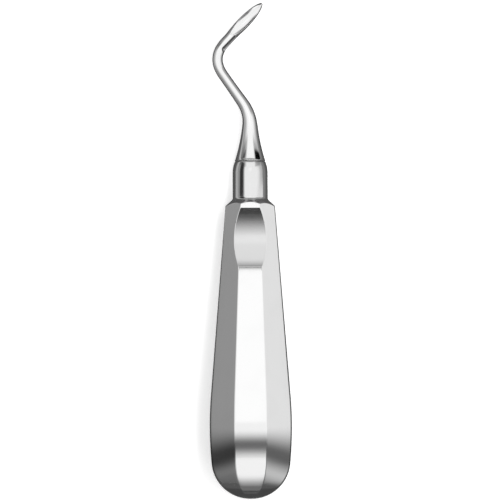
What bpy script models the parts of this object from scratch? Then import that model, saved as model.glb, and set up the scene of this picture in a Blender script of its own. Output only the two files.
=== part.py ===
"""A dental root elevator: a hollow eight-sided steel handle and a forged working end set in its neck.

Both pieces are drawn along the handle's own axis, which is local Z. The butt is at station 0, the tip points
to +Z, and the front face, which has the finger hollow, looks towards local -Y. Last of all the instrument is
laid on its back face, as it comes to rest on a tray, with the front face up and the tip towards +Y.
"""

import math

import bmesh
import bpy
from mathutils import Matrix, Vector

# Lengths are in metres and angles in degrees. A station is a distance from the butt along the handle's axis.

# Handle
HANDLE_WIDTH = 0.02576
HANDLE_DEPTH = 0.0240
FRONT_FACE_WIDTH = 0.01018
SIDE_BUTT_EASE = 0.00048
SIDE_ARC_RADIUS = 0.120
SIDE_TAPER = 4.53
FACE_BUTT_EASE = 0.0042
FACE_ARC_RADIUS = 0.034
FACE_TAPER = 4.2
EDGE_RADIUS = 0.0007
WALL = 0.0015

# Shoulder and neck, turned on the same bar
SHOULDER_STATION = 0.0920
SHOULDER_RADIUS = 0.0078
SHOULDER_ANGLE = 48.0
COLLAR_RADIUS = 0.0055
COLLAR_FILLET = 0.0012
NECK_HEIGHT = 0.0139
CROWN_RADIUS = 0.0095
SEAT_RADIUS = 0.00483

# Finger hollow, ground across the front face
HOLLOW_BELOW_SHOULDER = 0.0104
HOLLOW_LENGTH = 0.0188
HOLLOW_DEPTH = 0.00150

# Tang, which is brazed into the neck
TANG_RADIUS = 0.0030
TANG_LENGTH = 0.0190
TANG_CHAMFER = 0.0005
FIT_GAP = 0.0002
NECK_CONE_HEIGHT = 0.0040
NECK_FLOOR = 0.0020

# Shank: a flared stem, a bend to the left, a straight stretch and a bend back to the right
STEM_LENGTH = 0.0098
FLARE_LENGTH = 0.0324
FLARE_POWER = 3.3
SHANK_RADIUS = 0.00164
FIRST_BEND = 35.0
FIRST_BEND_LENGTH = 0.0106
SHANK_STRAIGHT = 0.0082
SECOND_BEND = 79.0
SECOND_BEND_LENGTH = 0.0135
BLADE_NECK_RADIUS = 0.00163

# Blade: a pointed leaf, hollow-ground on its front
BLADE_LENGTH = 0.0152
BLADE_WIDTH = 0.00382
BLADE_WIDEST = 0.0071
BLADE_BACK_DEPTH = 0.00125
TIP_POINTEDNESS = 0.60
GRIND_WHEEL_RADIUS = 0.035
GRIND_RIM_RADIUS = 0.0032
GRIND_STATION = 0.0112
GRIND_HEIGHT = -0.00005

# Flute, which leads the hollow of the blade back along the inner side of the bend
FLUTE_RADIUS = 0.00115
FLUTE_OFFSET = 0.00175
FLUTE_HEIGHT = 0.00155
FLUTE_BACK_REACH = 0.0032
FLUTE_FRONT_REACH = 0.0040

# How finely the round stretches are divided
ARC_STEP = 7.5
BUTT_STEPS = 18
SIDE_ARC_STEPS = 10
EDGE_ARC_STEPS = 2
NECK_SIDES = 64
SHANK_SIDES = 28
BEND_STEP = 4.5
FLARE_STEPS = 10
STRAIGHT_STEPS = 4
BLADE_STEPS = 9
TIP_STEPS = 13
HOLLOW_SIDES = 288
WHEEL_SIDES = 288
RIM_STEP = 5.0

CUTTER_MARGIN = 0.003
MERGE_DISTANCE = 0.000001


def clear_scene():
    """Removes whatever the file held."""
    for old in list(bpy.data.objects):
        bpy.data.objects.remove(old)


def steel(name, colour, roughness):
    """A bare stainless steel finish."""
    material = bpy.data.materials.new(name)
    material.use_nodes = True
    shader = material.node_tree.nodes["Principled BSDF"]
    shader.inputs["Base Color"].default_value = (*colour, 1.0)
    shader.inputs["Metallic"].default_value = 1.0
    shader.inputs["Roughness"].default_value = roughness
    return material


def add_mesh(name, bm, collection):
    """Puts a bmesh into the scene as a named object, with its faces turned outwards."""
    bmesh.ops.recalc_face_normals(bm, faces=bm.faces)
    mesh = bpy.data.meshes.new(name)
    bm.to_mesh(mesh)
    bm.free()
    made = bpy.data.objects.new(name, mesh)
    collection.objects.link(made)
    return made


def loft(name, sections, collection):
    """A closed solid through a row of sections that have as many points each."""
    bm = bmesh.new()
    rings = [[bm.verts.new(point) for point in section] for section in sections]
    for lower, upper in zip(rings, rings[1:]):
        for i, corner in enumerate(lower):
            after = (i + 1) % len(lower)
            bm.faces.new((corner, lower[after], upper[after], upper[i]))
    bm.faces.new(rings[0])
    bm.faces.new(rings[-1])
    return add_mesh(name, bm, collection)


def turned(name, outline, sides, collection):
    """A round solid from (radius, height) points that run from the top of its axis down to the foot."""
    bm = bmesh.new()
    points = [bm.verts.new((radius, 0.0, height)) for radius, height in outline]
    for first, second in zip(points, points[1:]):
        bm.edges.new((first, second))
    mesh = bpy.data.meshes.new(name)
    bm.to_mesh(mesh)
    bm.free()
    made = bpy.data.objects.new(name, mesh)
    collection.objects.link(made)
    screw = made.modifiers.new("turn", "SCREW")
    screw.axis = "Z"
    screw.steps = sides
    screw.render_steps = sides
    screw.use_merge_vertices = True
    screw.merge_threshold = MERGE_DISTANCE
    screw.use_normal_calculate = False
    return made


def combine(target, other, operation):
    """A live Boolean: target is cut to, or cut by, the other solid."""
    modifier = target.modifiers.new(other.name, "BOOLEAN")
    modifier.operation = operation
    modifier.object = other
    modifier.solver = "EXACT"
    other.hide_render = True
    other.display_type = "WIRE"


def arc(centre, radius, start, end, step):
    """Points on an arc in a plane, from one angle to another, both given in degrees and included."""
    count = max(2, math.ceil(abs(end - start) / step))
    turns = (math.radians(start + (end - start) * i / count) for i in range(count + 1))
    return [(centre[0] + radius * math.cos(a), centre[1] + radius * math.sin(a)) for a in turns]


# Handle


def seat_station():
    """Where the neck ends and the working end sits on it."""
    return SHOULDER_STATION + NECK_HEIGHT


class Profile:
    """How far a face of the handle lies from the axis: a round butt, a long arc, and a straight taper to the neck.

    The butt's radius is smaller than half the handle's size by the ease, which is what leaves room for the arc.
    """

    def __init__(self, size, ease, arc_radius, taper):
        self.half = size / 2
        self.butt = self.half - ease
        self.arc_radius = arc_radius
        self.taper = math.radians(taper)
        reach = arc_radius - self.butt
        rise = arc_radius - self.half
        self.widest = self.butt + math.sqrt(reach**2 - rise**2)
        self.arc_start = self.butt - self.butt * (self.widest - self.butt) / reach
        self.arc_end = self.widest + arc_radius * math.sin(self.taper)

    def straight(self, station, inset=0.0):
        start = self.half - self.arc_radius * (1 - math.cos(self.taper))
        fall = (station - self.arc_end) * math.tan(self.taper)
        return start - fall - inset / math.cos(self.taper)

    def at(self, station, inset=0.0):
        """The distance at a station, with the surface set in by inset."""
        if station > self.arc_end:
            return self.straight(station, inset)
        if station > self.arc_start:
            height = (self.arc_radius - inset) ** 2 - (station - self.widest) ** 2
            return self.half - self.arc_radius + math.sqrt(height)
        return math.sqrt((self.butt - inset) ** 2 - (station - self.butt) ** 2)


SIDE = Profile(HANDLE_WIDTH, SIDE_BUTT_EASE, SIDE_ARC_RADIUS, SIDE_TAPER)
FACE = Profile(HANDLE_DEPTH, FACE_BUTT_EASE, FACE_ARC_RADIUS, FACE_TAPER)


def handle_stations(inset, top):
    """Stations for the sections: close together round the butt, spread out along the arcs, and one at the top."""
    radius = SIDE.butt - inset
    turns = [math.radians(90 * (i + 0.5) / BUTT_STEPS) for i in range(BUTT_STEPS)]
    butt = [SIDE.butt - radius * math.cos(turn) for turn in turns]
    end = max(SIDE.arc_end, FACE.arc_end)
    arcs = [SIDE.butt + (end - SIDE.butt) * i / SIDE_ARC_STEPS for i in range(SIDE_ARC_STEPS + 1)]
    return butt + arcs + [top]


def rounded_corner(before, corner, after):
    """A short curve in place of a corner. It starts and ends as far from the corner as the edge radius asks."""
    half_turn = math.radians(360 / 8 / 2)
    reach = min(
        EDGE_RADIUS * math.tan(half_turn),
        0.3 * (corner - before).length,
        0.3 * (after - corner).length,
    )
    start = corner + (before - corner).normalized() * reach
    end = corner + (after - corner).normalized() * reach
    shares = [i / EDGE_ARC_STEPS for i in range(EDGE_ARC_STEPS + 1)]
    return [start.lerp(corner, t).lerp(corner.lerp(end, t), t) for t in shares]


def faceted_section(station, half_width, half_depth):
    """The outline of the eight-sided handle at a station, with its long edges rounded."""
    share = FRONT_FACE_WIDTH / HANDLE_WIDTH
    quarter = [(half_width, share * half_depth), (share * half_width, half_depth)]
    corners = [Vector((x, y)) for x, y in quarter]
    corners += [Vector((-x, y)) for x, y in reversed(quarter)]
    corners += [Vector((-x, -y)) for x, y in quarter]
    corners += [Vector((x, -y)) for x, y in reversed(quarter)]
    outline = []
    for i, corner in enumerate(corners):
        outline += rounded_corner(corners[i - 1], corner, corners[(i + 1) % len(corners)])
    return [(point.x, point.y, station) for point in outline]


def turned_envelope(collection):
    """The round shape that the shoulder, collar and crown are turned to. Below the shoulder it clears the faces."""
    slope = math.tan(math.radians(SHOULDER_ANGLE))
    collar_foot = SHOULDER_STATION + (SHOULDER_RADIUS - COLLAR_RADIUS) / slope
    tangent = COLLAR_FILLET * math.tan(math.radians(SHOULDER_ANGLE / 2))
    fillet_centre = (COLLAR_RADIUS + COLLAR_FILLET, collar_foot + tangent)
    fillet = arc(fillet_centre, COLLAR_FILLET, 180, 180 + SHOULDER_ANGLE, ARC_STEP)
    lean = math.degrees(math.acos(1 - (COLLAR_RADIUS - SEAT_RADIUS) / CROWN_RADIUS))
    crown_foot = seat_station() - CROWN_RADIUS * math.sin(math.radians(lean))
    crown = arc((COLLAR_RADIUS - CROWN_RADIUS, crown_foot), CROWN_RADIUS, lean, 0, ARC_STEP / 2)
    clear = HANDLE_WIDTH
    shoulder_foot = SHOULDER_STATION - (clear - SHOULDER_RADIUS) / slope
    outline = [(0.0, seat_station())] + crown + fillet
    outline += [(clear, shoulder_foot), (clear, -CUTTER_MARGIN), (0.0, -CUTTER_MARGIN)]
    return turned("turned_envelope", outline, NECK_SIDES, collection)


def hollow_cutter(name, grow, collection):
    """The cylinder, lying across the front face, that grinds the finger hollow. Grow adds to its radius."""
    radius = (HOLLOW_LENGTH**2 / 4 + HOLLOW_DEPTH**2) / (2 * HOLLOW_DEPTH)
    station = SHOULDER_STATION - HOLLOW_BELOW_SHOULDER
    outward = Vector((0.0, -math.cos(FACE.taper), math.sin(FACE.taper)))
    bm = bmesh.new()
    bmesh.ops.create_cone(
        bm,
        cap_ends=True,
        segments=HOLLOW_SIDES,
        radius1=radius + grow,
        radius2=radius + grow,
        depth=2 * HANDLE_WIDTH,
        matrix=Matrix.Rotation(math.radians(90), 4, "Y"),
    )
    cutter = add_mesh(name, bm, collection)
    cutter.location = Vector((0.0, -FACE.at(station), station)) + outward * (radius - HOLLOW_DEPTH)
    return cutter


def cavity(collection):
    """The inside of the hollow handle. It keeps one wall all round, and behind the finger hollow too."""
    neck_floor = SHOULDER_STATION - NECK_FLOOR
    stations = handle_stations(WALL, neck_floor - NECK_CONE_HEIGHT)
    rows = [(station, SIDE.at(station, WALL), FACE.at(station, WALL)) for station in stations]
    rows.append((neck_floor, TANG_RADIUS, TANG_RADIUS))
    inside = loft("cavity", [faceted_section(*row) for row in rows], collection)
    combine(inside, hollow_cutter("hollow_wall", WALL, collection), "DIFFERENCE")
    return inside


def bore(collection):
    """The hole through the neck that takes the tang."""
    bottom = SHOULDER_STATION - NECK_FLOOR - NECK_CONE_HEIGHT
    top = seat_station() + CUTTER_MARGIN
    radius = TANG_RADIUS + FIT_GAP
    outline = [(0.0, top), (radius, top), (radius, bottom), (0.0, bottom)]
    return turned("neck_bore", outline, SHANK_SIDES, collection)


def build_handle(parts, cutters):
    """The eight-sided handle with its turned neck, finger hollow and closed inside."""
    stations = handle_stations(0.0, seat_station() + CUTTER_MARGIN)
    sections = [faceted_section(station, SIDE.at(station), FACE.at(station)) for station in stations]
    handle = loft("handle", sections, parts)
    combine(handle, turned_envelope(cutters), "INTERSECT")
    combine(handle, hollow_cutter("finger_hollow", 0.0, cutters), "DIFFERENCE")
    combine(handle, cavity(cutters), "DIFFERENCE")
    combine(handle, bore(cutters), "DIFFERENCE")
    handle.data.materials.append(steel("satin_steel", (0.72, 0.72, 0.73), 0.25))
    return handle


# Working end


def smooth(t):
    """Rises from 0 to 1 with no slope at either end."""
    t = min(1.0, max(0.0, t))
    return t * t * (3 - 2 * t)


class Walker:
    """Walks along the shank's centreline, in the plane of its bends, and notes where it has been."""

    def __init__(self, station):
        self.point = Vector((0.0, 0.0, station))
        self.heading = 0.0
        self.travelled = 0.0
        self.rows = [(self.travelled, self.point.copy(), self.heading)]

    def forward(self):
        return Vector((math.sin(self.heading), 0.0, math.cos(self.heading)))

    def step(self, length, turn=0.0):
        """Moves by a straight length, or along an arc of that length that turns the heading by turn."""
        chord = length if turn == 0 else 2 * (length / abs(turn)) * math.sin(abs(turn) / 2)
        self.heading += turn / 2
        self.point += self.forward() * chord
        self.heading += turn / 2
        self.travelled += length
        self.rows.append((self.travelled, self.point.copy(), self.heading))

    def bend(self, angle, length):
        """An easy bend, which starts and ends gently and is tightest in its middle."""
        count = math.ceil(abs(angle) / BEND_STEP)
        shares = [smooth(i / count) for i in range(count + 1)]
        for before, after in zip(shares, shares[1:]):
            self.step(length / count, math.radians(angle) * (after - before))


def shank_radius(travelled, length):
    """Half the thickness of the round shank, a trumpet at its foot, that far above the seat."""
    slim = SHANK_RADIUS + (BLADE_NECK_RADIUS - SHANK_RADIUS) * travelled / length
    flare = max(0.0, 1 - travelled / FLARE_LENGTH)
    return slim + (SEAT_RADIUS - SHANK_RADIUS) * flare**FLARE_POWER


def oval(point, heading, half_width, half_depth):
    """A section across the centreline: its width lies in the plane of the bends, its depth along local Y."""
    sideways = Vector((math.cos(heading), 0.0, -math.sin(heading)))
    turns = (2 * math.pi * i / SHANK_SIDES for i in range(SHANK_SIDES))
    depth = Vector((0.0, half_depth, 0.0))
    return [point + sideways * (half_width * math.cos(a)) + depth * math.sin(a) for a in turns]


def tang_sections(seat):
    """The plain round tang, with a small lead at its end, up to the face that sits on the neck."""
    axis_points = [
        (seat - TANG_LENGTH, TANG_RADIUS - TANG_CHAMFER),
        (seat - TANG_LENGTH + TANG_CHAMFER, TANG_RADIUS),
        (seat, TANG_RADIUS),
    ]
    return [oval(Vector((0.0, 0.0, height)), 0.0, radius, radius) for height, radius in axis_points]


def blade_sections(start, heading):
    """Sections of the leaf: swelling slowly from the neck, then closing to a point."""
    forward = Vector((math.sin(heading), 0.0, math.cos(heading)))
    sections = []
    for i in range(1, BLADE_STEPS + 1):
        t = i / BLADE_STEPS
        half_width = BLADE_NECK_RADIUS + (BLADE_WIDTH / 2 - BLADE_NECK_RADIUS) * smooth(t)
        half_depth = BLADE_NECK_RADIUS + (BLADE_BACK_DEPTH - BLADE_NECK_RADIUS) * smooth(t)
        sections.append(oval(start + forward * (BLADE_WIDEST * t), heading, half_width, half_depth))
    for i in range(1, TIP_STEPS + 1):
        t = math.sin(math.radians(86.0) * i / TIP_STEPS)
        closing = (1 - t * t) ** TIP_POINTEDNESS
        reach = BLADE_WIDEST + (BLADE_LENGTH - BLADE_WIDEST) * t
        centre = start + forward * reach
        sections.append(oval(centre, heading, BLADE_WIDTH / 2 * closing, BLADE_BACK_DEPTH * closing))
    return sections


def grinding_wheel(start, heading, collection):
    """The wheel that hollows the front of the blade. Its edge is round, and it runs out on the neck."""
    rim_centre = GRIND_WHEEL_RADIUS - GRIND_RIM_RADIUS
    rim = arc((rim_centre, 0.0), GRIND_RIM_RADIUS, 90, -90, RIM_STEP)
    outline = [(0.0, GRIND_RIM_RADIUS)] + rim + [(0.0, -GRIND_RIM_RADIUS)]
    wheel = turned("grinding_wheel", outline, WHEEL_SIDES, collection)
    forward = Vector((math.sin(heading), 0.0, math.cos(heading)))
    lift = Vector((0.0, -(GRIND_WHEEL_RADIUS + GRIND_HEIGHT), 0.0))
    wheel.location = start + forward * GRIND_STATION + lift
    wheel.rotation_euler = (0.0, math.radians(90) + heading, 0.0)
    return wheel


def flute_cutter(start, heading, collection):
    """A round-nosed rod that cuts the flute into the neck, above its inner side, and comes out on the blade."""
    nose = arc((0.0, -FLUTE_BACK_REACH + FLUTE_RADIUS), FLUTE_RADIUS, 0, -90, ARC_STEP)
    outline = [(0.0, FLUTE_FRONT_REACH), (FLUTE_RADIUS, FLUTE_FRONT_REACH)] + nose
    flute = turned("flute", outline[:-1] + [(0.0, -FLUTE_BACK_REACH)], NECK_SIDES, collection)
    sideways = Vector((math.cos(heading), 0.0, -math.sin(heading)))
    flute.location = start + sideways * FLUTE_OFFSET + Vector((0.0, -FLUTE_HEIGHT, 0.0))
    flute.rotation_euler = (0.0, heading, 0.0)
    return flute


def build_working_end(parts, cutters):
    """Tang, flared shank with its two bends, and the hollow-ground blade, all one forging."""
    seat = seat_station() + FIT_GAP
    path = Walker(seat)
    for _ in range(FLARE_STEPS):
        path.step(STEM_LENGTH / FLARE_STEPS)
    path.bend(-FIRST_BEND, FIRST_BEND_LENGTH)
    for _ in range(STRAIGHT_STEPS):
        path.step(SHANK_STRAIGHT / STRAIGHT_STEPS)
    path.bend(SECOND_BEND, SECOND_BEND_LENGTH)
    sections = tang_sections(seat)
    for travelled, point, heading in path.rows:
        radius = shank_radius(travelled, path.travelled)
        sections.append(oval(point, heading, radius, radius))
    sections += blade_sections(path.point, path.heading)
    working_end = loft("working_end", sections, parts)
    combine(working_end, grinding_wheel(path.point, path.heading, cutters), "DIFFERENCE")
    combine(working_end, flute_cutter(path.point, path.heading, cutters), "DIFFERENCE")
    working_end.data.materials.append(steel("polished_steel", (0.74, 0.74, 0.75), 0.10))
    return working_end


# The whole instrument


def world_corners(pieces):
    """The lowest and highest corner of the finished pieces."""
    bpy.context.view_layer.update()
    depsgraph = bpy.context.evaluated_depsgraph_get()
    points = []
    for piece in pieces:
        evaluated = piece.evaluated_get(depsgraph)
        points += [evaluated.matrix_world @ vertex.co for vertex in evaluated.data.vertices]
    low = Vector([min(point[i] for point in points) for i in range(3)])
    high = Vector([max(point[i] for point in points) for i in range(3)])
    return low, high


def lay_on_back_face(collection, pieces):
    """Hangs every object on one empty, and turns that so that the back face lies in the plane Z = 0."""
    instrument = bpy.data.objects.new("instrument", None)
    collection.objects.link(instrument)
    for held in list(bpy.data.objects):
        if held is not instrument:
            held.parent = instrument
    instrument.rotation_euler = (-math.pi / 2 - FACE.taper, 0.0, 0.0)
    instrument.location.z = FACE.straight(0.0) * math.cos(FACE.taper)
    low, high = world_corners(pieces)
    instrument.location.y = -(low.y + high.y) / 2


def new_collection(name):
    made = bpy.data.collections.new(name)
    bpy.context.scene.collection.children.link(made)
    return made


def main():
    clear_scene()
    parts = new_collection("root_elevator")
    cutters = new_collection("cutters")
    pieces = [build_handle(parts, cutters), build_working_end(parts, cutters)]
    for piece in pieces:
        piece.data.shade_smooth()
        piece.data.set_sharp_from_angle(angle=math.radians(20))
    lay_on_back_face(parts, pieces)


main()
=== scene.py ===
# %% [markdown]
# # A dental root elevator
# The real tool is two pieces of stainless steel: a hollow handle with eight faces, and a forged working end
# that is brazed into the handle's neck. This notebook makes both again, finely enough for a close look, and
# gives them a satin and a polished finish. The frame brings in the plain model that they have to match.

# %% Load the frame
import math

import bmesh
import bpy
from mathutils import Matrix, Vector


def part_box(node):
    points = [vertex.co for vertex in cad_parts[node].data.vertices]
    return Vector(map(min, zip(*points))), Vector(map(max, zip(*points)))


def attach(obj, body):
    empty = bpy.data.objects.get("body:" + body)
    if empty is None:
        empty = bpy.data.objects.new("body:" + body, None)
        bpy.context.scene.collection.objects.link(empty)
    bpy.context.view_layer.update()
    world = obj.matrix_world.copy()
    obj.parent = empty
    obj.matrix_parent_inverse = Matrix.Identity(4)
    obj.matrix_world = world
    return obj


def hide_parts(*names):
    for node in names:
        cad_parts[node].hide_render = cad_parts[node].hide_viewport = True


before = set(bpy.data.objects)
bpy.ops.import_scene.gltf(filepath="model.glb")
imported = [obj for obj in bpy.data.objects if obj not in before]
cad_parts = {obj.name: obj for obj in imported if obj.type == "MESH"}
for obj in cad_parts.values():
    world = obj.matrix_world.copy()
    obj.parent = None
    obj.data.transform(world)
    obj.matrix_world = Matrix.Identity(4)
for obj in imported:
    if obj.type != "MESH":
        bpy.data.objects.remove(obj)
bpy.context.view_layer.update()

# %% [markdown]
# ## Working along the tool's own axis
# On the real tool every size is taken along its axis or across it. So each piece is first modelled standing on
# its butt, with its axis on Z and its front towards -Y, and is laid down only when it is finished. The sizes
# below are the maker's: lengths in metres from the butt, angles in degrees.

# %% Small helpers for working with operators
MERGE = 0.000002
FINISH_NAMES = ("ground_steel", "turned_steel", "satin_steel", "forged_steel", "honed_steel", "flute_steel")
FINISHES = {name: bpy.data.materials.new(name) for name in FINISH_NAMES}


def work_on(piece):
    """Selects one object and nothing else, so that an operator can't touch the others."""
    if bpy.context.object and bpy.context.object.mode != "OBJECT":
        bpy.ops.object.mode_set(mode="OBJECT")
    bpy.ops.object.select_all(action="DESELECT")
    piece.select_set(True)
    bpy.context.view_layer.objects.active = piece


def start_editing(piece):
    work_on(piece)
    bpy.ops.object.mode_set(mode="EDIT")
    bpy.ops.mesh.select_all(action="SELECT")


def stop_editing():
    bpy.ops.object.mode_set(mode="OBJECT")


def new_piece(name, finish=None):
    """Names the primitive that was just added, and gives it the finish that its tool leaves."""
    piece = bpy.context.object
    piece.name = name
    piece.data.name = name
    if finish:
        piece.data.materials.append(FINISHES[finish])
    return piece


def clean_up():
    """Merges doubles and turns every face outwards, in edit mode."""
    bpy.ops.mesh.select_all(action="SELECT")
    bpy.ops.mesh.remove_doubles(threshold=MERGE)
    bpy.ops.mesh.normals_make_consistent(inside=False)


def cut(piece, cutter, operation="DIFFERENCE"):
    """Cuts one solid with another at once. The cut faces take the cutter's finish, and the cutter goes."""
    work_on(piece)
    modifier = piece.modifiers.new(cutter.name, "BOOLEAN")
    modifier.operation = operation
    modifier.object = cutter
    modifier.solver = "EXACT"
    modifier.material_mode = "TRANSFER"
    bpy.ops.object.modifier_apply(modifier=modifier.name)
    print(f"{piece.name}: {len(piece.data.polygons)} faces after {cutter.name}")
    bpy.data.objects.remove(cutter)


def ease_edges(piece, merge, width, segments, limit):
    """Merges the slivers that the cuts left, then rounds the edges that are sharper than limit, in degrees."""
    start_editing(piece)
    bpy.ops.mesh.remove_doubles(threshold=merge)
    bpy.ops.mesh.dissolve_degenerate(threshold=merge)
    stop_editing()
    bevel = piece.modifiers.new("eased_edges", "BEVEL")
    bevel.width = width
    bevel.segments = segments
    bevel.limit_method = "ANGLE"
    bevel.angle_limit = math.radians(limit)
    bevel.use_clamp_overlap = False
    bpy.ops.object.modifier_apply(modifier=bevel.name)
    print(f"{piece.name}: {len(piece.data.polygons)} faces with eased edges")


# %% [markdown]
# ## The handle's eight faces
# Seen square on, a face of the handle is round at the butt, then bends in one long arc, and then runs straight
# to the neck. The two sides and the front and back have arcs of their own. An extruded section is the natural
# way to make such a bar: one eight-sided face is drawn out from station to station and resized at each. The
# long edges are eased in the section itself, so that every station inherits them.

# %% The handle's profiles
HANDLE_WIDTH = 0.02576
HANDLE_DEPTH = 0.0240
FRONT_FACE_WIDTH = 0.01018
SIDE_BUTT_EASE = 0.00048
SIDE_ARC_RADIUS = 0.120
SIDE_TAPER = 4.53
FACE_BUTT_EASE = 0.0042
FACE_ARC_RADIUS = 0.034
FACE_TAPER = 4.2


class Profile:
    """How far a face lies from the axis at a station."""

    def __init__(self, size, ease, arc_radius, taper):
        self.half = size / 2
        self.butt = self.half - ease
        self.arc_radius = arc_radius
        self.taper = math.radians(taper)
        reach = arc_radius - self.butt
        rise = arc_radius - self.half
        self.widest = self.butt + math.sqrt(reach**2 - rise**2)
        self.arc_start = self.butt - self.butt * (self.widest - self.butt) / reach
        self.arc_end = self.widest + arc_radius * math.sin(self.taper)

    def straight(self, station, inset=0.0):
        start = self.half - self.arc_radius * (1 - math.cos(self.taper))
        fall = (station - self.arc_end) * math.tan(self.taper)
        return start - fall - inset / math.cos(self.taper)

    def at(self, station, inset=0.0):
        if station > self.arc_end:
            return self.straight(station, inset)
        if station > self.arc_start:
            height = (self.arc_radius - inset) ** 2 - (station - self.widest) ** 2
            return self.half - self.arc_radius + math.sqrt(height)
        return math.sqrt((self.butt - inset) ** 2 - (station - self.butt) ** 2)


side = Profile(HANDLE_WIDTH, SIDE_BUTT_EASE, SIDE_ARC_RADIUS, SIDE_TAPER)
face = Profile(HANDLE_DEPTH, FACE_BUTT_EASE, FACE_ARC_RADIUS, FACE_TAPER)
print(f"the handle is widest {1000 * side.widest:.1f} mm from the butt")

# %% Draw a section out into a bar
# The section is drawn from -1 to 1 and resized afterwards, so the shares are parts of its half width.
EDGE_SHARE = 0.024
SIDE_EDGE_SHARE = 0.055
LONG_EDGE_SHARE = 0.2
BESIDE_SHARE = 0.9
EDGE_SEGMENTS = 6
FACE_STRIPS = 8
BUTT_ROWS = 48
FIRST_BUTT_ROW = 0.4
ARC_ROWS = 28
STRAIGHT_ROWS = 12


def draw_out(rows):
    """Extrudes the selected section along Z. A row is (height, half width, half depth)."""
    for before, after in zip(rows, rows[1:]):
        rise = after[0] - before[0]
        bpy.ops.mesh.extrude_region_move(TRANSFORM_OT_translate={"value": (0.0, 0.0, rise)})
        ratios = (after[1] / before[1], after[2] / before[2], 1.0)
        bpy.ops.transform.resize(value=ratios, center_override=(0.0, 0.0, after[0]))


def divide_long_edges(piece, shortest):
    """Cuts the long edges of a section into strips, so that a slanting face can twist as it rounds the butt."""
    bpy.ops.mesh.select_mode(type="EDGE")
    bpy.ops.mesh.select_all(action="DESELECT")
    for edge in bmesh.from_edit_mesh(piece.data).edges:
        edge.select = edge.calc_length() > shortest
    bmesh.update_edit_mesh(piece.data)
    bpy.ops.mesh.subdivide(number_cuts=FACE_STRIPS - 1)
    bpy.ops.mesh.select_mode(type="VERT")
    bpy.ops.mesh.select_all(action="SELECT")


def eight_sided_section(row):
    """A flat eight-sided face with eased corners, made from a plane whose corners are cut off twice."""
    height, half_width, half_depth = row
    bpy.ops.mesh.primitive_plane_add(size=2.0, location=(0.0, 0.0, 0.0))
    section = new_piece("section", "ground_steel")
    start_editing(section)
    leg = 1 - FRONT_FACE_WIDTH / HANDLE_WIDTH
    bpy.ops.mesh.bevel(offset=50 * leg, offset_pct=50 * leg, offset_type="PERCENT", affect="VERTICES")
    for share, beside in ((EDGE_SHARE, False), (SIDE_EDGE_SHARE, True)):
        bpy.ops.mesh.select_all(action="DESELECT")
        for corner in bmesh.from_edit_mesh(section.data).verts:
            corner.select = (abs(corner.co.x) > BESIDE_SHARE) == beside
        bmesh.update_edit_mesh(section.data)
        bpy.ops.mesh.bevel(offset=share, offset_type="OFFSET", segments=EDGE_SEGMENTS, affect="VERTICES")
    divide_long_edges(section, LONG_EDGE_SHARE)
    bpy.ops.transform.resize(value=(half_width, half_depth, 1.0), center_override=(0.0, 0.0, 0.0))
    bpy.ops.transform.translate(value=(0.0, 0.0, height))
    return section


def bar(name, inset, top):
    """The eight-sided bar from the butt to a height, with its surface set in by inset."""
    radius = side.butt - inset
    turns = [math.radians(90 * (i + FIRST_BUTT_ROW) / BUTT_ROWS) for i in range(BUTT_ROWS)]
    stations = [side.butt - radius * math.cos(turn) for turn in turns]
    end = max(side.arc_end, face.arc_end)
    stations += [side.butt + (end - side.butt) * i / ARC_ROWS for i in range(ARC_ROWS + 1)]
    stations += [end + (top - end) * i / STRAIGHT_ROWS for i in range(1, STRAIGHT_ROWS + 1)]
    rows = [(station, side.at(station, inset), face.at(station, inset)) for station in stations]
    piece = eight_sided_section(rows[0])
    draw_out(rows)
    clean_up()
    stop_editing()
    piece.name = name
    return piece


SHOULDER_STATION = 0.0920
NECK_HEIGHT = 0.0139
SPARE = 0.003

seat = SHOULDER_STATION + NECK_HEIGHT
handle = bar("handle_body", 0.0, seat + SPARE)
print(f"eight-sided bar: {len(handle.data.polygons)} faces")

# %% [markdown]
# ## Turning the neck
# The shoulder, the collar and its crown are cut on a lathe after the eight faces are ground. So a round solid
# of the turned shape is made in the same way, from a circle that is drawn out, and only what lies inside both
# solids is kept. Where the cone of the shoulder runs into each flat face it leaves a scalloped edge, which is
# what makes this handle look turned and not cast.

# %% Turn the shoulder, collar and crown
SHOULDER_RADIUS = 0.0078
SHOULDER_ANGLE = 48.0
COLLAR_RADIUS = 0.0055
COLLAR_FILLET = 0.0012
CROWN_RADIUS = 0.0095
SEAT_RADIUS = 0.00483
SEAM_EASE = 0.00018
TURNED_SIDES = 224
FILLET_STEPS = 12
CROWN_STEPS = 16
RIM_STEPS = 8


def arc(centre, radius, start, end, count):
    """Points on an arc in a plane, given in degrees, with both ends."""
    turns = (math.radians(start + (end - start) * i / count) for i in range(count + 1))
    return [(centre[0] + radius * math.cos(a), centre[1] + radius * math.sin(a)) for a in turns]


def turned_solid(name, outline, finish="turned_steel", sides=TURNED_SIDES):
    """A round solid from (radius, height) points, from the foot up."""
    radius, height = outline[0]
    location = (0.0, 0.0, height)
    bpy.ops.mesh.primitive_circle_add(vertices=sides, radius=radius, fill_type="NGON", location=location)
    piece = new_piece(name, finish)
    work_on(piece)
    bpy.ops.object.transform_apply()
    start_editing(piece)
    draw_out([(height, radius, radius) for radius, height in outline])
    clean_up()
    stop_editing()
    return piece


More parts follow.
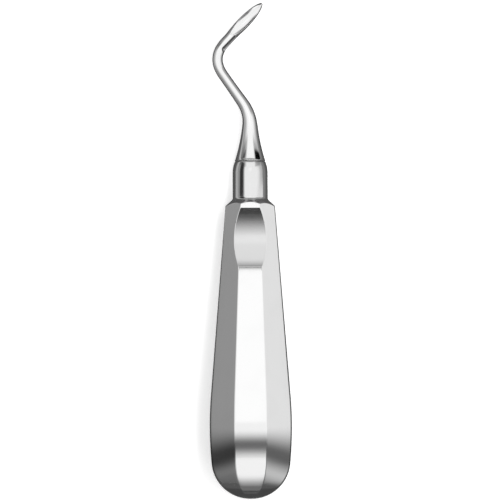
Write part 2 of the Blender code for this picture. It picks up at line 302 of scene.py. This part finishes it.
slope = math.tan(math.radians(SHOULDER_ANGLE))
clear = HANDLE_WIDTH
collar_foot = SHOULDER_STATION + (SHOULDER_RADIUS - COLLAR_RADIUS) / slope
fillet_height = COLLAR_FILLET * math.tan(math.radians(SHOULDER_ANGLE / 2))
fillet_centre = (COLLAR_RADIUS + COLLAR_FILLET, collar_foot + fillet_height)
fillet = arc(fillet_centre, COLLAR_FILLET, 180 + SHOULDER_ANGLE, 180, FILLET_STEPS)
lean = math.degrees(math.acos(1 - (COLLAR_RADIUS - SEAT_RADIUS) / CROWN_RADIUS))
crown_foot = seat - CROWN_RADIUS * math.sin(math.radians(lean))
crown = arc((COLLAR_RADIUS - CROWN_RADIUS, crown_foot), CROWN_RADIUS, 0, lean, CROWN_STEPS)
eased_rim = arc((SEAT_RADIUS - SEAM_EASE, seat - SEAM_EASE), SEAM_EASE, lean, 90, RIM_STEPS)
collar_outline = [(clear, -SPARE), (clear, SHOULDER_STATION - (clear - SHOULDER_RADIUS) / slope)]
collar_outline += fillet + crown[:-1] + eased_rim
cut(handle, turned_solid("turned_shape", collar_outline), "INTERSECT")

# %% [markdown]
# ## The finger hollow
# A wheel that lies across the front face grinds a shallow hollow for the finger, and its round ends come from
# the wheel running out over the two slanting faces. One big cylinder does the same here. It has many sides,
# because a polished hollow shows every flat.

# %% Grind the finger hollow
HOLLOW_BELOW_SHOULDER = 0.0104
HOLLOW_LENGTH = 0.0188
HOLLOW_DEPTH = 0.0015
WHEEL_SIDES = 960
WALL = 0.0015


def hollow_wheel(name, grow):
    """The wheel that grinds the hollow, or with grow, the shape that keeps a wall behind it."""
    radius = (HOLLOW_LENGTH**2 / 4 + HOLLOW_DEPTH**2) / (2 * HOLLOW_DEPTH)
    station = SHOULDER_STATION - HOLLOW_BELOW_SHOULDER
    outward = Vector((0.0, -math.cos(face.taper), math.sin(face.taper)))
    centre = Vector((0.0, -face.at(station), station)) + outward * (radius - HOLLOW_DEPTH)
    bpy.ops.mesh.primitive_cylinder_add(
        vertices=WHEEL_SIDES,
        radius=radius + grow,
        depth=2 * HANDLE_WIDTH,
        location=centre,
        rotation=(0.0, math.radians(90), 0.0),
    )
    return new_piece(name, "satin_steel")


cut(handle, hollow_wheel("finger_wheel", 0.0))

# %% [markdown]
# ## Easing the edges
# No edge of a hand instrument is sharp to the touch, and a sharp edge in a render has no glint. The long edges
# are eased already. A bevel by angle finds only the ones that the lathe and the wheel left, since the steps of
# the curved surfaces are much flatter than its limit.

# %% Ease the turned and ground edges, then open the inside
HANDLE_EASE = 0.00014
HANDLE_EASE_LIMIT = 14
HANDLE_SLIVER = 0.00001
TANG_RADIUS = 0.0030
FIT_GAP = 0.0002
NECK_FLOOR = 0.0020
NECK_STEP = 0.0040
BORE_SIDES = 64

ease_edges(handle, HANDLE_SLIVER, HANDLE_EASE, 3, HANDLE_EASE_LIMIT)

neck_floor = SHOULDER_STATION - NECK_FLOOR
inside = bar("inside", WALL, neck_floor - NECK_STEP)
cut(inside, hollow_wheel("wall_behind_hollow", WALL))
cut(handle, inside)
bore_radius = TANG_RADIUS + FIT_GAP
bore_depth = seat - neck_floor + NECK_STEP + SPARE
bore_centre = (0.0, 0.0, seat + SPARE - bore_depth / 2)
bpy.ops.mesh.primitive_cylinder_add(
    vertices=BORE_SIDES, radius=bore_radius, depth=bore_depth, location=bore_centre
)
cut(handle, new_piece("tang_bore", "turned_steel"))

# %% [markdown]
# ## The working end
# The forging starts as a round bar: a tang that hides in the neck, a flare that sits on the collar, and a shank
# that bends left, runs straight and bends back. An extruded circle can follow that line. At each row it is
# moved on, turned to the new heading and resized across, and because the line stays in one plane, resizing
# in X and Z together changes only the width, and Y only the depth.

# %% The line of the shank
STEM_LENGTH = 0.0098
FLARE_LENGTH = 0.0324
FLARE_POWER = 3.3
SHANK_RADIUS = 0.00164
FIRST_BEND = 35.0
FIRST_BEND_LENGTH = 0.0106
SHANK_STRAIGHT = 0.0082
SECOND_BEND = 79.0
SECOND_BEND_LENGTH = 0.0135
BLADE_NECK_RADIUS = 0.00163
BLADE_LENGTH = 0.0157
BLADE_WIDTH = 0.00382
BLADE_WIDEST = 0.0071
BLADE_BACK_DEPTH = 0.00125
TIP_POINTEDNESS = 0.55
TIP_THICKNESS = 0.4
TANG_LENGTH = 0.0190
TANG_CHAMFER = 0.0005
STEP = 0.0004


def smooth(t):
    """Rises from 0 to 1 with no slope at either end."""
    t = min(1.0, max(0.0, t))
    return t * t * (3 - 2 * t)


def heading_at(travelled):
    """The shank's heading in its plane, from its two easy bends."""
    first = smooth((travelled - STEM_LENGTH) / FIRST_BEND_LENGTH)
    second = smooth((travelled - STEM_LENGTH - FIRST_BEND_LENGTH - SHANK_STRAIGHT) / SECOND_BEND_LENGTH)
    return math.radians(SECOND_BEND * second - FIRST_BEND * first)


shank_length = STEM_LENGTH + FIRST_BEND_LENGTH + SHANK_STRAIGHT + SECOND_BEND_LENGTH
foot = seat + FIT_GAP
rows = []
point = Vector((0.0, 0.0, foot))
count = round(shank_length / STEP)
for i in range(count + 1):
    travelled = shank_length * i / count
    heading = heading_at(travelled)
    slim = SHANK_RADIUS + (BLADE_NECK_RADIUS - SHANK_RADIUS) * travelled / shank_length
    flare = max(0.0, 1 - travelled / FLARE_LENGTH) ** FLARE_POWER
    radius = slim + (SEAT_RADIUS - SHANK_RADIUS) * flare
    rows.append((point.copy(), heading, radius, radius))
    middle = heading_at(travelled + shank_length / count / 2)
    point += Vector((math.sin(middle), 0.0, math.cos(middle))) * (shank_length / count)
blade_start, blade_heading = rows[-1][0], rows[-1][1]
forward = Vector((math.sin(blade_heading), 0.0, math.cos(blade_heading)))
sideways = Vector((math.cos(blade_heading), 0.0, -math.sin(blade_heading)))
towards_viewer = Vector((0.0, -1.0, 0.0))
blade_angle = math.degrees(blade_heading)
print(f"the blade starts {1000 * blade_start.z:.1f} mm up and points {blade_angle:.0f} degrees right")

# %% [markdown]
# ## The leaf of the blade, and the tang
# The forging ends in a leaf that widens from the neck and closes to a point, flat across and thinner in depth.
# It could be a piece of its own, but the real one has no seam there, so more rows are added to the same line:
# first they widen with an easy curve, then they close along a power of a circle, which gives a soft point. The
# tang's rows are put before the line in the same way.

# %% Add the rows of the leaf and of the tang
BLADE_ROWS = 20
TIP_ROWS = 30
TIP_TURN = 87.5
LEAF_SHIFT = 0.00013

for i in range(1, BLADE_ROWS + 1):
    t = i / BLADE_ROWS
    half_width = BLADE_NECK_RADIUS + (BLADE_WIDTH / 2 - BLADE_NECK_RADIUS) * smooth(t)
    half_depth = BLADE_NECK_RADIUS + (BLADE_BACK_DEPTH - BLADE_NECK_RADIUS) * smooth(t)
    place = blade_start + forward * (BLADE_WIDEST * t) - sideways * (LEAF_SHIFT * smooth(2 * t))
    rows.append((place, blade_heading, half_width, half_depth))
leaf_start = blade_start - sideways * LEAF_SHIFT
for i in range(1, TIP_ROWS + 1):
    t = math.sin(math.radians(TIP_TURN) * i / TIP_ROWS)
    closing = (1 - t * t) ** TIP_POINTEDNESS
    reach = BLADE_WIDEST + (BLADE_LENGTH - BLADE_WIDEST) * t
    size = (BLADE_WIDTH / 2 * closing, BLADE_BACK_DEPTH * closing**TIP_THICKNESS)
    rows.append((leaf_start + forward * reach, blade_heading, *size))

tang = [(TANG_RADIUS - TANG_CHAMFER, foot - TANG_LENGTH), (TANG_RADIUS, foot - TANG_LENGTH + TANG_CHAMFER)]
tang += [(TANG_RADIUS, foot)]
rim = arc((SEAT_RADIUS - SEAM_EASE, foot + SEAM_EASE), SEAM_EASE, -90, 0, RIM_STEPS)
foot_rows = [(Vector((0.0, 0.0, height)), 0.0, radius, radius) for radius, height in tang + rim]
rows = foot_rows + [row for row in rows if row[0].z > foot + SEAM_EASE]
print(f"{len(rows)} rows from the tang to the tip")

# %% Draw the bar out along its line
SHANK_SIDES = 72


def draw_along(rows):
    """Extrudes the selected circle along a bent line. A row is (point, heading, half width, half depth)."""
    for before, after in zip(rows, rows[1:]):
        bpy.ops.mesh.extrude_region_move(TRANSFORM_OT_translate={"value": after[0] - before[0]})
        turn = after[1] - before[1]
        if turn:
            bpy.ops.transform.rotate(value=-turn, orient_axis="Y", center_override=after[0])
        ratios = (after[2] / before[2], after[3] / before[3], after[2] / before[2])
        bpy.ops.transform.resize(value=ratios, center_override=after[0])


first_point, _, first_radius, _ = rows[0]
bpy.ops.mesh.primitive_circle_add(
    vertices=SHANK_SIDES, radius=first_radius, fill_type="NGON", location=first_point
)
working_end = new_piece("working_end_body", "forged_steel")
work_on(working_end)
bpy.ops.object.transform_apply()
start_editing(working_end)
draw_along(rows)
clean_up()
stop_editing()
print(f"forged bar: {len(working_end.data.polygons)} faces")

# %% [markdown]
# ## Grinding the blade
# The front of the leaf is hollow. On the bench a wheel with a rounded rim is run along it, and it leaves the
# curved ledge where it comes out on the neck. A ring, which is what the rim of such a wheel is, cuts the same
# hollow. A thin round-nosed rod then cuts the flute above the inner side of the bend.

# %% Hollow the front of the blade
GRIND_WHEEL_RADIUS = 0.022
GRIND_RIM_RADIUS = 0.0029
GRIND_STATION = 0.0093
GRIND_HEIGHT = 0.00018
FLUTE_RADIUS = 0.00115
FLUTE_OFFSET = 0.00175
FLUTE_HEIGHT = 0.00155
FLUTE_BACK_REACH = 0.0040
FLUTE_FRONT_REACH = 0.0024
FLUTE_SIDES = 96
NOSE_START = -88
NOSE_STEPS = 14
RING_SIDES = 640
RIM_SIDES = 96
BLADE_EASE = 0.00005
BLADE_EASE_LIMIT = 24
BLADE_SLIVER = 0.000006

wheel_centre = leaf_start + forward * GRIND_STATION + towards_viewer * (GRIND_WHEEL_RADIUS + GRIND_HEIGHT)
bpy.ops.mesh.primitive_torus_add(
    major_segments=RING_SIDES,
    minor_segments=RIM_SIDES,
    major_radius=GRIND_WHEEL_RADIUS - GRIND_RIM_RADIUS,
    minor_radius=GRIND_RIM_RADIUS,
    location=wheel_centre,
    rotation=(0.0, math.radians(90) + blade_heading, 0.0),
)
cut(working_end, new_piece("grinding_rim", "honed_steel"))

nose = arc((0.0, FLUTE_RADIUS - FLUTE_BACK_REACH), FLUTE_RADIUS, NOSE_START, 0, NOSE_STEPS)
rod_outline = nose + [(FLUTE_RADIUS, FLUTE_FRONT_REACH)]
flute = turned_solid("flute_rod", rod_outline, "flute_steel", FLUTE_SIDES)
flute_centre = blade_start + sideways * FLUTE_OFFSET + towards_viewer * FLUTE_HEIGHT
flute.data.transform(Matrix.Translation(flute_centre) @ Matrix.Rotation(blade_heading, 4, "Y"))
cut(working_end, flute)
ease_edges(working_end, BLADE_SLIVER, BLADE_EASE, 2, BLADE_EASE_LIMIT)

# %% [markdown]
# ## Laying the tool down
# A round collar and a flat-sided handle come to rest on the handle's back face. That face leans by its taper,
# so the tool is turned by a quarter turn and that taper, and then moved to where the frame has it. Turn and
# place are applied, so that both pieces keep them in their meshes. Edges above an angle stay crisp, and the
# rest is shaded smooth. The blade's rim is so fine that the working end takes a smaller angle than the handle.

# %% Lay both pieces on the back face
HANDLE_CRISP_ANGLE = 32
WORKING_END_CRISP_ANGLE = 16

pieces = {handle: HANDLE_CRISP_ANGLE, working_end: WORKING_END_CRISP_ANGLE}
for piece in pieces:
    piece.rotation_euler.x = -math.radians(90 + FACE_TAPER)
    work_on(piece)
    bpy.ops.object.transform_apply(location=False, rotation=True, scale=False)

cad_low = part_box("handle")[0]
own_low = [min(vertex.co[axis] for vertex in handle.data.vertices) for axis in range(3)]
shift = Vector((0.0, cad_low[1] - own_low[1], cad_low[2] - own_low[2]))
for piece, crisp_angle in pieces.items():
    piece.location = shift
    work_on(piece)
    bpy.ops.object.transform_apply()
    bpy.ops.object.shade_smooth_by_angle(angle=math.radians(crisp_angle))
    weighted = piece.modifiers.new("flat_faces_stay_flat", "WEIGHTED_NORMAL")
    weighted.keep_sharp = True
    weighted.weight = 50
    bpy.ops.object.modifier_apply(modifier=weighted.name)
    places = [[1000 * vertex.co[axis] for vertex in piece.data.vertices] for axis in range(3)]
    print(piece.name, "spans", [(round(min(along), 2), round(max(along), 2)) for along in places], "mm")

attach(handle, "root")
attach(working_end, "root")
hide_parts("handle")
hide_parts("working_end")

# %% [markdown]
# ## Writing shader maths
# A finish is a sum of small effects, and sums are easier to read as sums. The class below wraps a socket of a
# node, so that `0.1 + 0.04 * smudges` adds the right Math nodes. Any other node comes from one method.

# %% A small kit for shader nodes
WHITE = (1.0, 1.0, 1.0, 1.0)
# Outputs of the Texture Coordinate and the Light Path node.
WORLD_DIRECTION = 0
OBJECT_COORDINATES = 3
IS_GLOSSY_RAY = 3
IS_TRANSMISSION_RAY = 6


class Wire:
    """A socket that can be used in a sum like a number."""

    def __init__(self, nodes, socket):
        self.nodes = nodes
        self.socket = socket

    def maths(self, operation, *values):
        return self.nodes.add("Math", {"operation": operation}, dict(enumerate(values)))

    def __add__(self, other):
        return self.maths("ADD", self, other)

    def __sub__(self, other):
        return self.maths("SUBTRACT", self, other)

    def __rsub__(self, other):
        return self.maths("SUBTRACT", other, self)

    def __mul__(self, other):
        return self.maths("MULTIPLY", self, other)

    __radd__ = __add__
    __rmul__ = __mul__

    def rises(self, start, end):
        """0 up to start and 1 from end on, with a smooth rise between. It falls where end is below start."""
        low, high, flip = (start, end, False) if start < end else (end, start, True)
        settings = {"interpolation_type": "SMOOTHSTEP"}
        values = {"Value": self, "From Min": low, "From Max": high}
        risen = self.nodes.add("MapRange", settings, values)
        return 1 - risen if flip else risen


class Nodes:
    """The nodes of a material or the world."""

    def __init__(self, owner):
        owner.use_nodes = True
        self.tree = owner.node_tree
        self.tree.nodes.clear()

    def add(self, kind, settings=None, values=None, output=0):
        """Adds a node by its type, makes its settings, then fills its sockets, and returns an output."""
        node = self.tree.nodes.new("ShaderNode" + kind)
        for name, value in (settings or {}).items():
            setattr(node, name, value)
        for name, value in (values or {}).items():
            if isinstance(value, Wire):
                self.tree.links.new(value.socket, node.inputs[name])
            else:
                node.inputs[name].default_value = value
        return Wire(self, node.outputs[output]) if node.outputs else node

    def split(self, vector):
        """The three axes of a vector."""
        node = self.add("SeparateXYZ", None, {0: vector}).socket.node
        return [Wire(self, output) for output in node.outputs]

    def blend(self, amount, first, second):
        """Goes from one colour to another."""
        settings = {"data_type": "RGBA"}
        return self.add("Mix", settings, {0: amount, 6: first, 7: second}, output=2)

    def blend_shaders(self, amount, first, second):
        """Goes from one shader to another."""
        return self.add("MixShader", None, {0: amount, 1: first, 2: second})

    def show(self, shader):
        """Gives a shader to the surface."""
        self.add("OutputMaterial", None, {"Surface": shader})


# %% [markdown]
# ## The steel
# Every surface keeps the marks of the tool that made it. The eight faces are polished along their length, the
# collar is polished while it turns, so its lines run round it, and the hollows keep the satin of the wheel. The
# lines are noise that is stretched along one direction. They are far too fine to see one by one, so they are
# kept very shallow. Handling leaves soft patches that are a little duller, and those feed the roughness.

# %% Finish the steel
FAINT_LINES = 0.0000004
DEEPER_LINES = 0.0000008
PATCH_DULLNESS = 0.012
FINE_DULLNESS = 0.01
WORN_SHINE = 0.97


def finish_steel(name, shine, roughness, lines, line_depth):
    """Fills in one finish. lines is how many lines there are in a metre in each direction."""
    nodes = Nodes(FINISHES[name])
    place = nodes.add("TexCoord", output=OBJECT_COORDINATES)
    along = nodes.add("Mapping", None, {"Vector": place, "Rotation": (math.radians(FACE_TAPER), 0.0, 0.0)})
    stretched = nodes.add("Mapping", None, {"Vector": along, "Scale": lines})
    grain = nodes.add("TexNoise", None, {"Vector": stretched, "Scale": 1.0, "Detail": 3.0, "Roughness": 0.6})
    smudges = nodes.add("TexNoise", None, {"Vector": place, "Scale": 130.0, "Detail": 4.0, "Roughness": 0.55})
    specks = nodes.add("TexNoise", None, {"Vector": place, "Scale": 900.0, "Detail": 2.0, "Roughness": 0.5})
    dull = smudges.rises(0.42, 0.72)
    worn = WORN_SHINE * shine
    colour = nodes.blend(dull * 0.6 + specks * 0.2, (shine, shine, shine, 1.0), (worn, worn, worn, 1.0))
    patchy = roughness + PATCH_DULLNESS * dull
    uneven = patchy + FINE_DULLNESS * (grain - 0.5) + FINE_DULLNESS * (specks - 0.5)
    relief = nodes.add("Bump", None, {"Strength": 1.0, "Distance": line_depth, "Height": grain})
    values = {"Base Color": colour, "Metallic": 1.0, "Roughness": uneven, "Normal": relief}
    nodes.show(nodes.add("BsdfPrincipled", None, values))


finish_steel("ground_steel", 0.86, 0.10, (6000.0, 90.0, 6000.0), FAINT_LINES)
finish_steel("turned_steel", 0.80, 0.12, (40.0, 7000.0, 40.0), FAINT_LINES)
finish_steel("satin_steel", 0.70, 0.13, (5000.0, 120.0, 5000.0), DEEPER_LINES)
finish_steel("honed_steel", 0.88, 0.13, (4000.0, 200.0, 4000.0), FAINT_LINES)
finish_steel("flute_steel", 0.45, 0.20, (3000.0, 3000.0, 3000.0), DEEPER_LINES)
finish_steel("forged_steel", 0.90, 0.09, (2500.0, 300.0, 2500.0), FAINT_LINES)
print("finished:", ", ".join(FINISHES))

# %% [markdown]
# ## The table
# The tool lies on plain white paper, where only a soft shadow shows. The camera is shown a sheet that glows a
# little, and a little more beside the neck, so that the shadow stays faint. Anything that mirrors the paper,
# or lets it show through, is shown plain white.

# %% Lay out the table
TABLE_SIZE = 3.0
TABLE_HEIGHT = -0.00002
PAPER_WHITE = (0.90, 0.90, 0.90, 1.0)

bpy.ops.object.select_all(action="DESELECT")
bpy.ops.mesh.primitive_plane_add(size=TABLE_SIZE, location=(0.0, 0.0, TABLE_HEIGHT))
table_top = new_piece("table_top")
paper = bpy.data.materials.new("white_paper")
table_top.data.materials.append(paper)
nodes = Nodes(paper)
_, along, _ = nodes.split(nodes.add("TexCoord", output=OBJECT_COORDINATES))
sheet = nodes.add("BsdfDiffuse", None, {"Color": PAPER_WHITE})
brightness = 0.40 + 0.10 * along.rises(0.012, 0.024)
glow = nodes.add("Emission", None, {"Color": brightness, "Strength": 1.0})
lit_sheet = nodes.add("AddShader", None, {0: sheet, 1: glow})
plain_white = nodes.add("Emission", None, {"Color": WHITE, "Strength": 1.0})
glossy_ray = nodes.add("LightPath", output=IS_GLOSSY_RAY)
transmission_ray = nodes.add("LightPath", output=IS_TRANSMISSION_RAY)
mirrored = glossy_ray.maths("MAXIMUM", glossy_ray, transmission_ray)
nodes.show(nodes.blend_shaders(mirrored, lit_sheet, plain_white))
print(f"table_top: {TABLE_SIZE} m square")

# %% [markdown]
# ## The light tent
# Polished steel shows nothing but what is around it, so its light is a room and not a lamp. Here the room is a
# tent: a bright roof that fades down its walls, faint walls all round, and four dim corners, of which the left
# one behind has a darker strip in it. It is drawn in the world by direction, and every edge in it is soft.

# %% Put up the light tent
world = bpy.data.worlds.new("light_tent")
bpy.context.scene.world = world
nodes = Nodes(world)
direction = nodes.add("TexCoord", output=WORLD_DIRECTION)
x, y, z = nodes.split(direction)

roof = z.rises(-0.30, 0.75) * y.rises(-0.90, -0.70) * y.rises(0.85, 0.68) * (1 - 0.3 * x.rises(-0.50, -0.80))
lamp = y.rises(0.17, 0.25) * y.rises(0.44, 0.34) * x.rises(-0.22, -0.10) * x.rises(0.22, 0.10)
walls = 0.08 * x.rises(-0.80, -0.97) + 0.20 * x.rises(0.50, 0.90)
back_wall = 0.34 * y.rises(0.72, 0.92)
front_wall = 0.12 * y.rises(-0.80, -0.92) * z.rises(0.0, 0.2)
back_corners = y.rises(0.40, 0.50) * (x.rises(0.45, 0.62) + x.rises(-0.35, -0.55))
left_corner = y.rises(0.53, 0.58) * y.rises(0.65, 0.61) * x.rises(-0.50, -0.62) * x.rises(-0.84, -0.75)
front_corner = y.rises(-0.24, -0.38) * x.rises(0.25, 0.45)
front_left = y.rises(0.05, -0.35) * x.rises(-0.10, -0.45)
corners = (1 - 0.5 * back_corners) * (1 - 0.85 * left_corner)
corners = corners * (1 - 0.85 * front_corner) * (1 - 0.45 * front_left)
strength = 0.05 + 0.98 * roof * corners + 0.12 * lamp
strength = strength + walls * z.rises(0.35, 0.0) + back_wall + front_wall
light = nodes.add("Background", None, {"Color": WHITE, "Strength": strength})
nodes.add("OutputWorld", None, {"Surface": light})
print(f"light_tent: {len(nodes.tree.nodes)} nodes")

# %% [markdown]
# ## Cards close to the tool
# Some parts of the tool show things that the parts next to them don't, though both look the same way. So those
# things are close to it, as the white and black cards of a photographer's table are. Each card below is seen by
# the steel alone. It hides the tent behind it, and it fades out towards its edges, so that its reflection is
# soft even in a polished face. How much of a card there is at a place is a sum of such fades, and every card's
# function is given x, y and z for it, also where it needs only one of them.

# %% A card that only the steel can see
def hang_card(name, brightness, cover_at):
    """Finishes the card that was just added. cover_at says how much of it there is at x, y, z, from 0 to 1."""
    card = new_piece(name)
    work_on(card)
    bpy.ops.object.transform_apply()
    card.visible_camera = False
    card.visible_diffuse = False
    card.visible_shadow = False
    material = bpy.data.materials.new(name)
    card.data.materials.append(material)
    nodes = Nodes(material)
    cover = cover_at(*nodes.split(nodes.add("TexCoord", output=OBJECT_COORDINATES)))
    glow = nodes.add("Emission", None, {"Color": WHITE, "Strength": brightness})
    nodes.show(nodes.blend_shaders(cover, nodes.add("BsdfTransparent"), glow))
    print(f"{name}: brightness {brightness}")


def upright_plane(x, y_range, z_range):
    """Adds a plane that stands at one x, between two values of y and of z."""
    middle = (x, sum(y_range) / 2, sum(z_range) / 2)
    bpy.ops.object.select_all(action="DESELECT")
    bpy.ops.mesh.primitive_plane_add(size=1.0, location=middle, rotation=(0.0, math.radians(90), 0.0))
    bpy.context.object.scale = (z_range[1] - z_range[0], y_range[1] - y_range[0], 1.0)


# %% [markdown]
# ## A dark cloth under the tool
# Steel on white paper would melt into it, so a dark cloth is laid under the tool for its reflections, as the
# black cards of a photographer are. Its thin places are painted light: there the white paper shows through,
# as paper lit further from the tool would look in the steel. Beyond the butt the cloth is a little darker.

# %% Spread the dark cloth
BLACK_CARD = 0.03
CLOTH_SIZE = 2.9
CLOTH_HEIGHT = -0.00001


def cloth_cover(x, y, z):
    # Painted light: the thin places let the white paper show, as lit paper away from the tool; beyond the butt
    # the cloth is darker.
    painted_light_left = x.rises(-0.018, -0.042) * y.rises(0.006, 0.016)
    painted_light_right = 0.35 * x.rises(0.010, 0.030) * y.rises(0.012, 0.020)
    painted_light_part = x.maths("MAXIMUM", painted_light_left + painted_light_right, y.rises(0.085, 0.105))
    darker_beyond_butt = y.rises(-0.082, -0.092) * y.rises(-0.150, -0.130)
    return 1 - (0.072 + 0.42 * painted_light_part - 0.038 * darker_beyond_butt)


bpy.ops.object.select_all(action="DESELECT")
bpy.ops.mesh.primitive_plane_add(size=CLOTH_SIZE, location=(0.0, 0.0, CLOTH_HEIGHT))
hang_card("dark_cloth", BLACK_CARD, cloth_cover)

# %% [markdown]
# ## White cards beside the handle
# The handle's right face is light from the neck to the butt, where it rounds off into a darker grey. A lighter
# tent wall would show in the neck and the shank as well, so two white cards stand close to the handle: a bright
# one beside its length, whose foot comes lower towards the neck, and a greyer one beside the butt.

# %% Stand up the white cards
def handle_card_cover(x, y, z):
    lowered = z + 0.006 * y.rises(-0.040, 0.020)
    length = y.rises(-0.086, -0.066) * y.rises(0.027, 0.021)
    return length * lowered.rises(0.012, 0.017) * z.rises(0.058, 0.035)


def butt_card_cover(x, y, z):
    length = y.rises(-0.112, -0.090) * y.rises(-0.060, -0.070)
    return length * z.rises(0.005, 0.012) * z.rises(0.058, 0.035)


upright_plane(0.036, (-0.090, 0.027), (0.004, 0.060))
hang_card("white_card_handle", 0.86, handle_card_cover)
upright_plane(0.037, (-0.140, -0.060), (0.005, 0.060))
hang_card("white_card_butt", 0.58, butt_card_cover)

# %% [markdown]
# ## A black arch over the butt
# The butt rounds over in every direction, and in the photograph a dark band runs round it from side to side.
# One flat card would be mirrored in only a few of the faces, so this one is bent into an arch over them all.

# %% Stand up the black arch
ARCH_SIDES = 96
ARCH_LENGTH = 0.040
ARCH_HALF_WIDTH = 0.0325
ARCH_HEIGHT = 0.048
ARCH_PLACE = (0.0, -0.071, 0.012)


def arch_cover(x, y, z):
    return 0.85 * y.rises(-0.0528, -0.0672) * y.rises(-0.086, -0.0690)


bpy.ops.mesh.primitive_cylinder_add(
    vertices=ARCH_SIDES,
    radius=1.0,
    depth=ARCH_LENGTH,
    end_fill_type="NOTHING",
    location=ARCH_PLACE,
    rotation=(math.radians(90), 0.0, 0.0),
)
bpy.context.object.scale = (ARCH_HALF_WIDTH, ARCH_HEIGHT, 1.0)
hang_card("black_arch", 0.0, arch_cover)

# %% [markdown]
# ## Black cards by the neck
# A turned collar mirrors the whole room in narrow lines, and its left side has a dark one that the shank
# further up lacks. A card that stands close on the left gives that line to the neck alone. A second one hangs
# over the finger hollow, whose upper end mirrors it as the dark shade that fades down into the hollow.

# %% Stand up the black cards by the neck
HOLLOW_CARD_PLACE = (0.0, 0.0067, 0.041)
HOLLOW_CARD_SIZE = (0.024, 0.0118, 1.0)


def collar_card_cover(x, y, z):
    length = y.rises(0.0180, 0.0188) * y.rises(0.0440, 0.0360)
    return length * z.rises(0.0120, 0.0165) * z.rises(0.0325, 0.0215)


def hollow_card_cover(x, y, z):
    return y.rises(0.0016, 0.0028) * y.rises(0.0120, 0.0060)


upright_plane(-0.016, (0.0180, 0.0440), (0.012, 0.035))
hang_card("black_card_collar", BLACK_CARD, collar_card_cover)
bpy.ops.mesh.primitive_plane_add(size=1.0, location=HOLLOW_CARD_PLACE)
bpy.context.object.scale = HOLLOW_CARD_SIZE
hang_card("black_card_hollow", BLACK_CARD, hollow_card_cover)

# %% [markdown]
# ## A black card beside the flare
# The flare above the collar has a dark wedge on its right that ends well below the shank. A narrow card does
# that, set close on the right. It slants, since the flare's side leans more and more as it widens, and so what
# it mirrors moves down and back.

# %% Stand up the card beside the flare
def flare_card_cover(x, y, z):
    slant = y - 0.62 * z
    band = slant.rises(0.0250, 0.0262) * slant.rises(0.0292, 0.0278)
    return band * z.rises(0.0078, 0.0090) * z.rises(0.0170, 0.0145)


upright_plane(0.008, (0.0300, 0.0405), (0.0075, 0.0175))
hang_card("black_card_flare", 0.0, flare_card_cover)

# %% [markdown]
# ## A black card behind the tip
# The last bend and the blade's far edge mirror what stands behind the tip, and there the photograph has a dark
# line that sets them off from the paper. A low card across the tool's end is enough for it.

# %% Stand up the card behind the tip
TIP_CARD_PLACE = (-0.001, 0.084, 0.008)
TIP_CARD_SIZE = (0.022, 0.016, 1.0)


def tip_card_cover(x, y, z):
    return x.rises(-0.012, -0.009) * x.rises(0.010, 0.006) * z.rises(0.016, 0.010)


upright = (math.radians(90), 0.0, 0.0)
bpy.ops.object.select_all(action="DESELECT")
bpy.ops.mesh.primitive_plane_add(size=1.0, location=TIP_CARD_PLACE, rotation=upright)
bpy.context.object.scale = TIP_CARD_SIZE
hang_card("black_card_tip", BLACK_CARD, tip_card_cover)

# %% [markdown]
# ## A soft lamp for the shadow
# The handle's shadow shows only on its left, close to it, so one wide lamp hangs over the tool and a little to
# the right. Its own reflection is left out, as the tent is all that the steel shows.

# %% Hang the soft lamp
LAMP_WIDTH = 0.06
LAMP_LENGTH = 0.40
LAMP_STRENGTH = 4.0
LAMP_PLACE = (0.055, -0.02, 0.20)

lamp_data = bpy.data.lights.new("soft_lamp", "AREA")
lamp_data.shape = "RECTANGLE"
lamp_data.size = LAMP_WIDTH
lamp_data.size_y = LAMP_LENGTH
lamp_data.energy = math.pi * LAMP_STRENGTH * LAMP_WIDTH * LAMP_LENGTH
soft_lamp = bpy.data.objects.new("soft_lamp", lamp_data)
soft_lamp.location = LAMP_PLACE
soft_lamp.rotation_euler = (0.0, math.atan2(LAMP_PLACE[0], LAMP_PLACE[2]), 0.0)
soft_lamp.visible_glossy = False
bpy.context.scene.collection.objects.link(soft_lamp)
print(f"soft_lamp: {lamp_data.energy:.2f} W")

# %% [markdown]
# ## The camera
# The photograph looks straight down on the tool through a very long lens, so that the low tip and the high
# handle show at one scale. The camera is turned by a hair, as the tool lies that much out of square.

# %% Set up the camera
AXIS_HEIGHT = 0.012
VIEW_DISTANCE = 5.0
VIEW_WIDTH = 0.156725
VIEW_CENTRE = (-0.00011, 0.00045)
VIEW_TURN = -0.0028

camera_data = bpy.data.cameras.new("camera")
camera_data.sensor_fit = "HORIZONTAL"
camera_data.sensor_width = 36.0
camera_data.lens = camera_data.sensor_width * VIEW_DISTANCE / VIEW_WIDTH
camera_data.clip_start = 0.01
camera = bpy.data.objects.new("camera", camera_data)
camera.location = (*VIEW_CENTRE, AXIS_HEIGHT + VIEW_DISTANCE)
camera.rotation_euler = (0.0, 0.0, VIEW_TURN)
bpy.context.scene.collection.objects.link(camera)
bpy.context.scene.camera = camera
bpy.context.scene.view_settings.view_transform = "Standard"
print(f"camera: a lens of {camera_data.lens:.0f} mm, {VIEW_DISTANCE} m above the tool")
